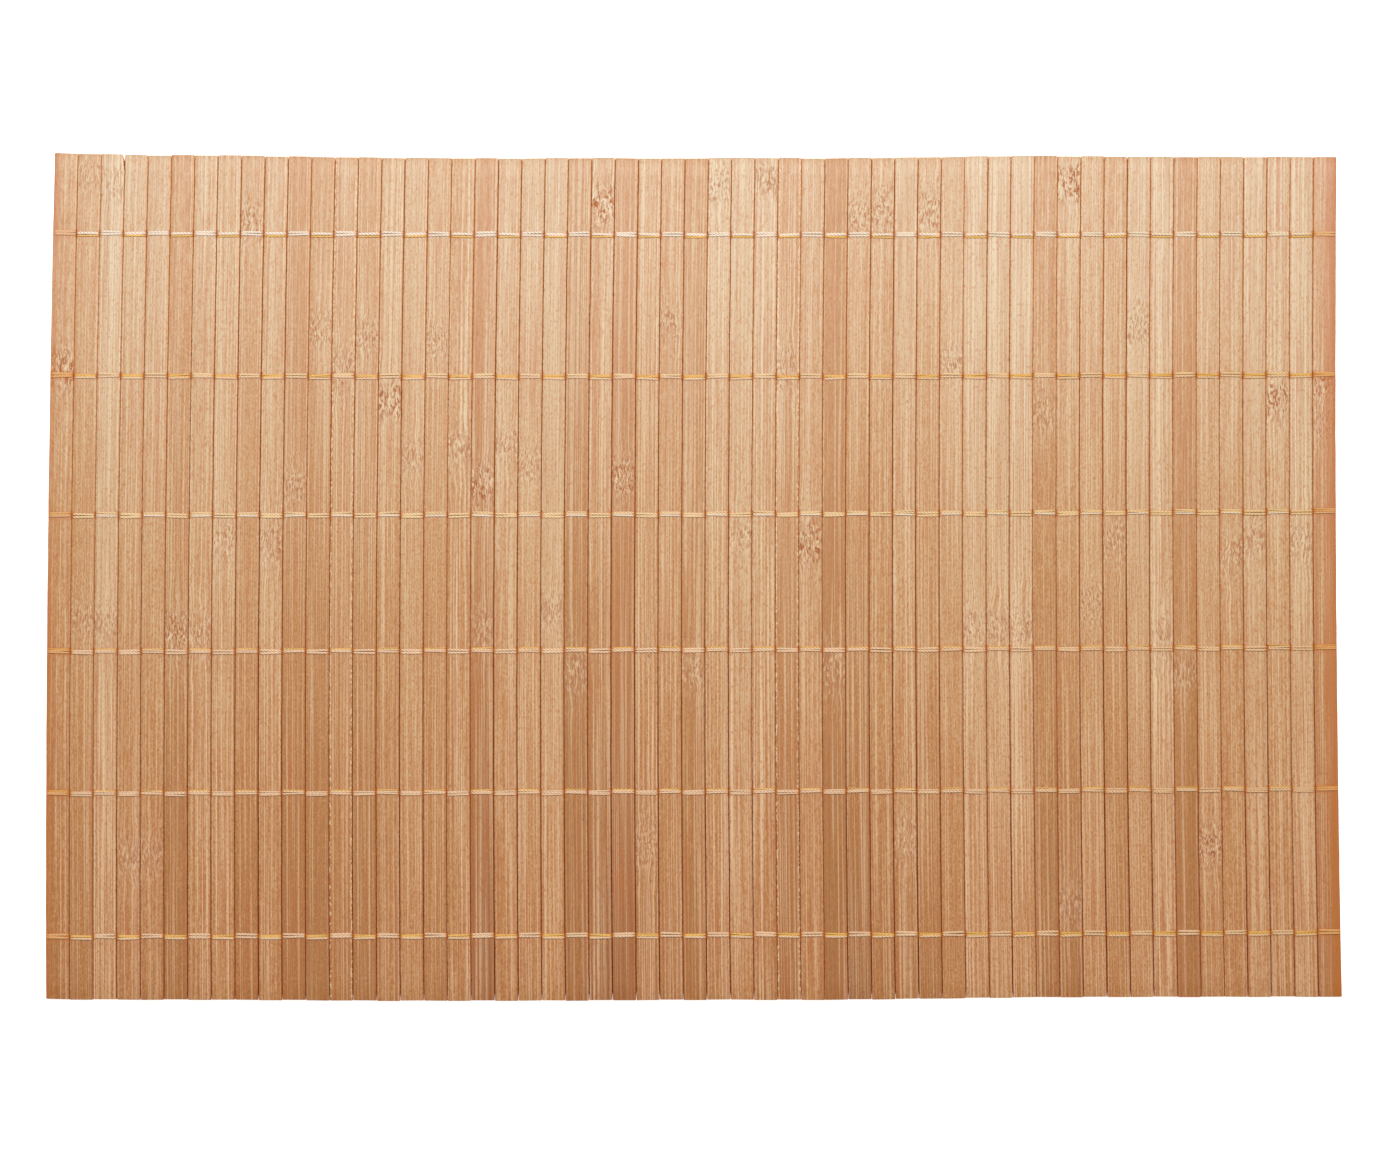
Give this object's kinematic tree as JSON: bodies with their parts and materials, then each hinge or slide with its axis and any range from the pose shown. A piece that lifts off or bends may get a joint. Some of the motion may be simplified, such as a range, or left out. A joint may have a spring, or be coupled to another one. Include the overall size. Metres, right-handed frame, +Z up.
{
  "type": "bamboo placemat",
  "caption": "Flat rectangular placemat of narrow bamboo slats laid side by side and held together by rows of twined thread.",
  "frame": {"origin": "middle of the mat's outline, on the surface that it lies on", "axes": "+X to the right across the slats, +Y along the slats to the far edge, +Z up"},
  "size_m": [0.451, 0.297, 0.0026],
  "materials": {
    "bamboo": "smooth planed bamboo, satin, straight fine fibres",
    "thread": "matt twisted yarn, cream and gold"
  },
  "bodies": {
    "root": {"slat_01": "bamboo", "slat_02": "bamboo", "slat_03": "bamboo", "slat_04": "bamboo", "slat_05": "bamboo", "slat_06": "bamboo", "slat_07": "bamboo", "slat_08": "bamboo", "slat_09": "bamboo", "slat_10": "bamboo", "slat_11": "bamboo", "slat_12": "bamboo", "slat_13": "bamboo", "slat_14": "bamboo", "slat_15": "bamboo", "slat_16": "bamboo", "slat_17": "bamboo", "slat_18": "bamboo", "slat_19": "bamboo", "slat_20": "bamboo", "slat_21": "bamboo", "slat_22": "bamboo", "slat_23": "bamboo", "slat_24": "bamboo", "slat_25": "bamboo", "slat_26": "bamboo", "slat_27": "bamboo", "slat_28": "bamboo", "slat_29": "bamboo", "slat_30": "bamboo", "slat_31": "bamboo", "slat_32": "bamboo", "slat_33": "bamboo", "slat_34": "bamboo", "slat_35": "bamboo", "slat_36": "bamboo", "slat_37": "bamboo", "slat_38": "bamboo", "slat_39": "bamboo", "slat_40": "bamboo", "slat_41": "bamboo", "slat_42": "bamboo", "slat_43": "bamboo", "slat_44": "bamboo", "slat_45": "bamboo", "slat_46": "bamboo", "slat_47": "bamboo", "slat_48": "bamboo", "slat_49": "bamboo", "slat_50": "bamboo", "slat_51": "bamboo", "slat_52": "bamboo", "slat_53": "bamboo", "slats_54_and_55": "bamboo", "thread_row_1": "thread", "thread_row_2": "thread", "thread_row_3": "thread", "thread_row_4": "thread", "thread_row_5": "thread", "thread_row_6": "thread"}
  },
  "joints": []
}
